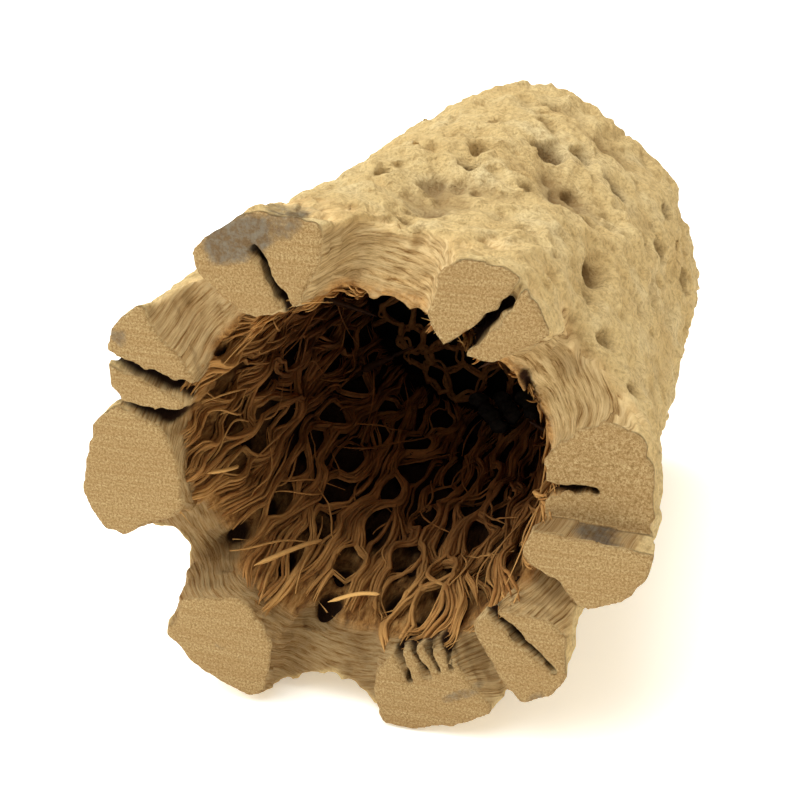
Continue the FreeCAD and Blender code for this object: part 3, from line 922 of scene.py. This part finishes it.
def eye_push(angle, depth):
    """How far a strand is pushed round the eyes, in millimetres, and how close it runs to a rim."""
    moved = np.zeros_like(depth)
    rim = np.zeros_like(depth)
    for eye_angle, eye_depth, half_width, half_length in EYES:
        reach = half_length * 1.5
        if eye_depth + reach < depth[0] or eye_depth - reach > depth[-1]:
            continue
        away = np.radians(turn(angle - eye_angle)) * NET_RADIUS
        at_eye = np.interp(eye_depth, depth, away)
        if abs(at_eye) > 8:
            continue
        side = -1.0 if at_eye < 0 else 1.0
        near = np.clip(1 - ((depth - eye_depth) / reach) ** 2, 0, 1)
        wide = half_width * 1.2
        pushed = np.sqrt(away**2 + wide**2 * near) - np.abs(away)
        moved += side * pushed * np.exp(-((away / 3.2) ** 2))
        rim = np.maximum(rim, near * np.exp(-((np.abs(away) + pushed - wide) ** 2) / 0.5))
    return moved, rim


def strand_start(angle, rng):
    """Depth at which a strand leaves the wood, and how far out it starts, on a sawn rib or in an arch."""
    x, z = on_section(np.array([angle]), 20.8)
    if sample_plane(ribs_2d, x, z)[0] < 0.3:
        saw = float(sample_plane(set_back_2d, x, z)[0])
        return saw + rng.uniform(0.5, 2.4), rng.uniform(0.2, 0.8)
    return float(arch_inner(angle)) + rng.uniform(-0.3, 2.2), 0.5 + worn_lip(angle) * rng.uniform(0.5, 0.95)


def in_lane(angle, depth):
    """1 where the pebbles run along the bottom of the bore, 0 elsewhere."""
    return smoothstep(PEBBLE_LANE + 8, PEBBLE_LANE, np.abs(turn(angle - 270))) * smoothstep(6, 9, depth)


def keep_clear(angle, radius, depth):
    """Strands stay in the lining's thickness where the pebbles run."""
    lowest = 17.6 + (LINING_INSIDE + 0.25 - 17.6) * in_lane(angle, depth)
    return np.clip(radius, lowest, 22.6)


class Strands:
    """Fibres collected for one mesh."""

    def __init__(self):
        self.paths, self.radii, self.tones = [], [], []

    def add(self, angle, radius, depth, thick, tone):
        self.paths.append(polar(angle, radius, depth))
        self.radii.append(thick)
        self.tones.append(tone)


def add_bundles(strands, rng):
    """Bundles that run the length of the bore, and part round the eyes."""
    sway = RingNoise(9.0, 40.0, 9.0, 43)
    swell = RingNoise(5.0, 40.0, 5.0, 44)
    last = WEB_DEPTH - 0.6
    depth = np.arange(0.0, last, 0.9)
    for bundle in range(BUNDLES):
        centre = 360 * bundle / BUNDLES + rng.normal(0, 0.5)
        wander = 2.4 * sway(np.full_like(depth, centre), depth * 0, depth)
        height = rng.uniform(-0.5, 0.45)
        tone = rng.normal(0.45, 0.14)
        for _ in range(STRANDS):
            start, flare = strand_start(centre, rng)
            end = last if rng.random() < 0.85 else rng.uniform(18, 60)
            here = (depth >= start) & (depth <= end)
            d = depth[here]
            spread = rng.normal(0, 0.9) + 0.7 * np.sin(d * rng.uniform(0.12, 0.35) + rng.uniform(0, 6.3))
            base = centre + wander[here] + spread
            moved, rim = eye_push(base, d)
            angle = base + np.degrees(moved / NET_RADIUS)
            radius = 19.75 + height + rng.normal(0, 0.22) - 0.5 * rim
            radius = radius - 0.3 * swell(angle, d * 0, d) + flare * np.exp(-(d - start) / 2.6)
            steps = np.arange(len(d))
            ends = np.minimum(1, np.minimum(steps, steps[::-1]) / 3 + 0.15)
            ripple = 1 + 0.2 * np.sin(d * rng.uniform(0.5, 1.2) + rng.uniform(0, 6))
            thick = rng.choice((0.12, 0.16, 0.22)) * ends * ripple
            strands.add(angle, keep_clear(angle, radius, d), d, thick, tone + rng.normal(0, 0.14))


def add_strays(strands, rng):
    """Single fibres that cross the bundles at a slant."""
    for _ in range(STRAYS):
        angle, start = rng.uniform(0, 360), rng.uniform(3, 50)
        s = np.linspace(0, 1, 14)
        d = start + rng.uniform(5, 16) * s
        angle = angle + rng.normal(0, 14) * s + 3 * np.sin(s * rng.uniform(2, 6) + rng.uniform(0, 6))
        radius = 19.1 - rng.uniform(0, 0.9) * np.sin(np.pi * s)
        thick = 0.10 * (0.35 + np.sin(np.pi * np.clip(s, 0.08, 0.92)))
        strands.add(angle, keep_clear(angle, radius, d), d, thick, rng.uniform(0.4, 1.0))


def add_frays(strands, rng):
    """Short torn ends round the mouth."""
    for _ in range(FRAYS):
        angle = rng.uniform(0, 360)
        start, flare = strand_start(angle, rng)
        s = np.linspace(0, 1, 8)
        length = rng.uniform(0.5, 1.6)
        d = np.maximum(start, 0.3) + length * s * rng.uniform(0.2, 0.9)
        radius = 20.4 + 0.7 * flare - length * rng.uniform(0.2, 0.8) * s**1.5
        angle = angle + rng.normal(0, 5) * s**1.5
        thick = rng.uniform(0.07, 0.13) * (1.1 - s)
        strands.add(angle, keep_clear(angle, radius, d), d, thick, rng.uniform(0.6, 1.0))


def add_splinters(strands):
    """The few long splinters that stand off the net."""
    s = np.linspace(0, 1, 16)
    for start, end, lift, thick, tone in SPLINTERS:
        angle = start[0] + turn(end[0] - start[0]) * s
        d = start[1] + (end[1] - start[1]) * s
        radius = 19.2 - lift * s - 0.8 * np.sin(np.pi * s)
        body = thick * np.minimum(1, np.minimum(s * 6 + 0.15, (1 - s) * 9 + 0.35))
        strands.add(angle, radius, d, body, tone)


def make_fibres(material):
    """The net of fibres that lines the bore, in one mesh."""
    rng = np.random.default_rng(41)
    strands = Strands()
    add_bundles(strands, rng)
    add_strays(strands, rng)
    add_frays(strands, rng)
    add_splinters(strands)
    sides = 4
    net, shares = tubes("fibre_net", strands.paths, strands.radii, sides, flatten=0.85)
    depth = np.concatenate([path[:, 1] for path in strands.paths]) - NEAR
    paint(net, "tone", np.repeat(np.clip(strands.tones, 0, 1.3), shares))
    # Painted shade: how much each strand is darkened, growing with depth into the bore.
    paint(net, "deep", np.repeat(smoothstep(6, 42, depth), sides))
    dress(net, material, "inner_fibre", "fibre_lining")
    return net


def web_corners(rng):
    """Where the web's cells meet: three lattice points, and the place midway between them."""
    cell = 4.4
    places = {}
    rows = range(-6, 7)
    for i in rows:
        for j in rows:
            x = (i + 0.5 * (j % 2)) * cell + rng.normal(0, 1.5)
            z = j * cell * 0.87 + rng.normal(0, 1.5)
            if math.hypot(x, z) < 22:
                places[i, j] = (x, z, rng.normal(0, 0.5))
    for i, j in places:
        up_left, up_right = (i - 1 + j % 2, j + 1), (i + j % 2, j + 1)
        for trio in (((i, j), up_left, up_right), ((i, j), up_right, (i + 1, j))):
            if all(t in places for t in trio):
                yield set(trio), np.mean([places[t] for t in trio], axis=0)


def make_web(material):
    """An irregular net of strands across the far end of the bore."""
    rng = np.random.default_rng(53)
    paths, radii = [], []
    s = np.linspace(-0.08, 1.08, 9)[:, None]
    for (trio, start), (other, end) in itertools.combinations(list(web_corners(rng)), 2):
        if len(trio & other) != 2 or max(math.hypot(*start[:2]), math.hypot(*end[:2])) >= 20.6:
            continue
        for _ in range(rng.integers(2, 6)):
            bow = rng.normal(0, 0.5, 3) * (1, 1, 0.8)
            line = start * (1 - s) + end * s + np.sin(np.pi * np.clip(s, 0, 1)) * bow
            line = line + rng.normal(0, 0.12, 3)
            reach = np.hypot(line[:, 0], line[:, 1])
            keep = np.minimum(1, 20.2 / np.maximum(reach, 1e-6))
            dome = WEB_DEPTH + 0.8 - 0.010 * reach**1.5 + line[:, 2] * 0.8
            paths.append(from_straight(line[:, 0] * keep, line[:, 1] * keep, dome))
            waist = 0.75 + 0.5 * (2 * s[:, 0] - 1) ** 2
            radii.append(rng.uniform(0.18, 0.42) * waist)
    web, shares = tubes("fibre_cells", paths, radii, sides=6)
    paint(web, "tone", np.repeat(rng.uniform(0.0, 0.4, len(paths)), shares))
    # Painted shade: the web at the far end of the bore is painted almost fully dark.
    paint(web, "deep", np.full(sum(shares), 0.85))
    dress(web, material, "inner_fibre", "fibre_web")
    return web


# ---- plug, glue, spines and pebbles


def lathe(name, profile, sides=120):
    """A turned piece about the plug's axis. The profile is (radius, y) points in millimetres."""
    angles = np.arange(sides) * 2 * np.pi / sides
    centre = AXIS_HEIGHT * TAPER
    rings = []
    for r, y in profile:
        ring = (r * np.cos(angles), np.full(sides, y), centre + r * np.sin(angles))
        rings.append(np.stack(ring, axis=-1))
    count = len(rings)
    index = np.arange(count * sides).reshape(count, sides)
    following = np.roll(index, -1, axis=1)
    rows = np.arange(count - 1)
    faces = np.stack([index[rows], index[rows + 1], following[rows + 1], following[rows]], axis=-1)
    return new_mesh(name, np.concatenate(rings), faces.reshape(-1, 4))


def make_plug(material):
    """A disc with rounded edges and turning marks outside, and painted shade on its inside face."""
    low, high = in_mm(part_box("far_end_plug"))
    radius = (high[0] - low[0]) / 2
    edge = radius - 0.05
    profile = [(0.01, low[1]), (radius - 0.6, low[1]), (edge, low[1] + 0.5), (edge, high[1] - 0.5)]
    for r in np.linspace(radius - 0.6, 0.01, 70):
        profile.append((r, high[1] - 0.05 + 0.05 * math.sin(r * 5.2)))
    plug = lathe("turned_plug", profile)
    # Painted shade on the inside face, which looks into the dark bore.
    inside = np.repeat([1.0 if y < low[1] + 1 else 0.0 for _, y in profile], 120)
    paint(plug, "soot_and_shade", inside)
    dress(plug, material, "plug_wood", "far_end_plug")
    return plug


def make_glue(material):
    """A bead of glue of uneven height round the plug."""
    low, high = in_mm(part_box("plug_glue_ring"))
    outer, height = (high[0] - low[0]) / 2, high[1] - low[1]
    profile = []
    for a in np.linspace(-0.2, math.pi + 0.2, 14):
        profile.append((outer - 0.75 + 0.72 * math.cos(a), low[1] - 0.05 + height * max(0, math.sin(a))))
    bead = lathe("glue_bead", profile, sides=180)
    rng = np.random.default_rng(61)
    mesh = bead.data
    places = np.empty(len(mesh.vertices) * 3, np.float32)
    mesh.vertices.foreach_get("co", places)
    places = places.reshape(-1, 3) / MM
    angle = angle_of(places[:, 0], places[:, 2] - AXIS_HEIGHT * TAPER)
    lumps = ring_profile([(a, rng.uniform(0.55, 1.0)) for a in range(0, 360, 7)], blur=2.5)
    places[:, 1] = low[1] + (places[:, 1] - low[1]) * lumps(angle)
    mesh.vertices.foreach_set("co", (places * MM).astype(np.float32).ravel())
    dress(bead, material, "glue", "plug_glue_ring")
    return bead


def make_spine(number, material):
    """A slightly bent thorn, thick at its head under the skin and fine at its tip in the bore."""
    node = f"spine_{number:02d}"
    low, high = in_mm(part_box(node))
    rng = np.random.default_rng(70 + number)
    middle = (low + high) / 2
    depth = middle[1] - NEAR
    axis = np.array([0, middle[1], AXIS_HEIGHT * scale_at(depth)])
    outward = (middle - axis) * (1, 0, 1)
    outward /= np.linalg.norm(outward)
    angle = math.degrees(math.atan2(outward[2], outward[0]))
    head = (float(outer_radius(angle, depth)) - 1.5) * scale_at(depth)
    tip = float(np.min(np.abs((np.array([low, high]) - axis) @ outward)))
    tip = max(tip, SPINE_REACH)
    s = np.linspace(0, 1, 26)
    aside = np.array([-outward[2], 0, outward[0]])
    bend = rng.normal(0, 0.12) * np.sin(np.pi * s) + rng.normal(0, 0.03) * np.sin(3 * np.pi * s)
    reach = head + (tip - head) * s
    path = axis + outward * reach[:, None] + aside * bend[:, None]
    thick = 0.85 * (1 - s) ** 0.8 + 0.10
    thick[[0, 1, -1]] = 0.05, 0.62, 0.02
    thorn, _ = tubes(f"thorn_{number:02d}", [path], [thick], sides=12)
    dress(thorn, material, "spine", node)
    return thorn


def make_pebble(number, material):
    """An angular grain with worn corners, inside its CAD pebble's box."""
    node = f"pebble_{number:02d}"
    low, high = in_mm(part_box(node))
    work = bmesh.new()
    bmesh.ops.create_icosphere(work, subdivisions=4, radius=1.0)
    rng = np.random.default_rng(90 + number)
    cuts = rng.normal(size=(16, 3))
    cuts /= np.linalg.norm(cuts, axis=1)[:, None]
    reach = rng.uniform(0.72, 0.97, 16)
    places = np.array([v.co for v in work.verts])
    for way, far in zip(cuts, reach):
        over = places @ way - far
        places -= np.where(over > 0, over * 0.9, 0)[:, None] * way
    for wave in rng.normal(size=(5, 3)) * 3.5:
        places *= 1 + 0.012 * np.sin(places @ wave + rng.uniform(0, 6))[:, None]
    places *= ((high - low) / 2) / np.abs(places).max(axis=0)
    places += (high + low) / 2
    for vertex, place in zip(work.verts, places):
        vertex.co = Vector(place * MM)
    mesh = bpy.data.meshes.new(f"grain_{number:02d}")
    work.to_mesh(mesh)
    work.free()
    mesh.shade_smooth()
    grain = bpy.data.objects.new(f"grain_{number:02d}", mesh)
    bpy.context.collection.objects.link(grain)
    dress(grain, material, "pebble", node)
    return grain


# ---- put together

cactus = cactus_material()
net_fibre = fibre_material("net_fibre", colour(212, 164, 98), colour(140, 90, 44))
plug_wood = simple_material(
    "plug_wood", colour(122, 88, 52), colour(190, 152, 104), 0.5, 0.75, 0.15, stretch=(4, 1, 0.5)
)
glue = simple_material("glue", colour(92, 58, 20), colour(150, 104, 44), 0.4, 0.35, 0.05, coat=0.4)
thorn_skin = simple_material("thorn_skin", colour(30, 17, 9), colour(74, 44, 22), 0.9, 0.5, 0.05)
lava = simple_material("lava", colour(22, 19, 17), colour(58, 51, 45), 1.4, 0.85, 0.12)

stem = make_stem(cactus)
net = make_fibres(net_fibre)
web = make_web(net_fibre)
plug = make_plug(plug_wood)
bead = make_glue(glue)
for piece in (stem, net, web, plug, bead):
    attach(piece, "stem")
for number in range(1, 13):
    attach(make_spine(number, thorn_skin), "stem")
for number in range(1, 11):
    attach(make_pebble(number, lava), "pebble_charge")

# ---- floor, light and camera


def make_floor():
    """A wide pale floor with a faint glow, so that it comes out as white as the background."""
    mesh = bpy.data.meshes.new("studio_floor")
    reach = 30.0
    corners = [(reach * x, reach * y, 0) for x, y in ((-1, -1), (1, -1), (1, 1), (-1, 1))]
    mesh.from_pydata(corners, [], [(0, 1, 2, 3)])
    floor = bpy.data.objects.new("studio_floor", mesh)
    bpy.context.collection.objects.link(floor)
    s = Shader("floor_white")
    mottle = s.noise(s.position(), 0.004, 2)
    base = s.ramp(mottle, (0.3, 0.96, 0.95, 0.92), (0.7, 0.97, 0.96, 0.93))
    s.finish(base, 0.9)
    s.surface.inputs["Emission Color"].default_value = (1.0, 0.94, 0.80, 1)
    s.surface.inputs["Emission Strength"].default_value = 0.33
    mesh.materials.append(s.material)
    floor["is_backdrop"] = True


def make_light(name, place, target, size, power, tint):
    data = bpy.data.lights.new(name, "AREA")
    data.shape = "RECTANGLE"
    data.size = data.size_y = size
    data.energy = power
    data.color = tint
    light = bpy.data.objects.new(name, data)
    light.location = place
    light.rotation_euler = (Vector(target) - Vector(place)).to_track_quat("-Z", "Y").to_euler()
    bpy.context.collection.objects.link(light)


def make_world():
    world = bpy.data.worlds.new("white_room")
    bpy.context.scene.world = world
    world.use_nodes = True
    background = world.node_tree.nodes["Background"]
    background.inputs["Color"].default_value = (1.0, 0.96, 0.87, 1)
    background.inputs["Strength"].default_value = 0.84


def make_camera():
    data = bpy.data.cameras.new("camera")
    data.lens = 63.0
    data.sensor_width = 36.0
    data.clip_start = 0.005
    camera = bpy.data.objects.new("camera", data)
    camera.location = (0.04015, -0.16088, 0.09682)
    looking = Vector((-0.25087, 0.87751, -0.40870))
    camera.rotation_euler = looking.to_track_quat("-Z", "Y").to_euler()
    bpy.context.collection.objects.link(camera)
    bpy.context.scene.camera = camera


make_floor()
make_world()
make_light("overhead", (-0.40, -0.15, 0.80), (0.0, 0.0, 0.03), 1.2, 15.5, (0.88, 0.95, 1.0))
bpy.context.scene.view_settings.view_transform = "Standard"
make_camera()

visual_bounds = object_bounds()
[[list(map(float, c)) for c in box] for box in (cad_bounds, visual_bounds)]
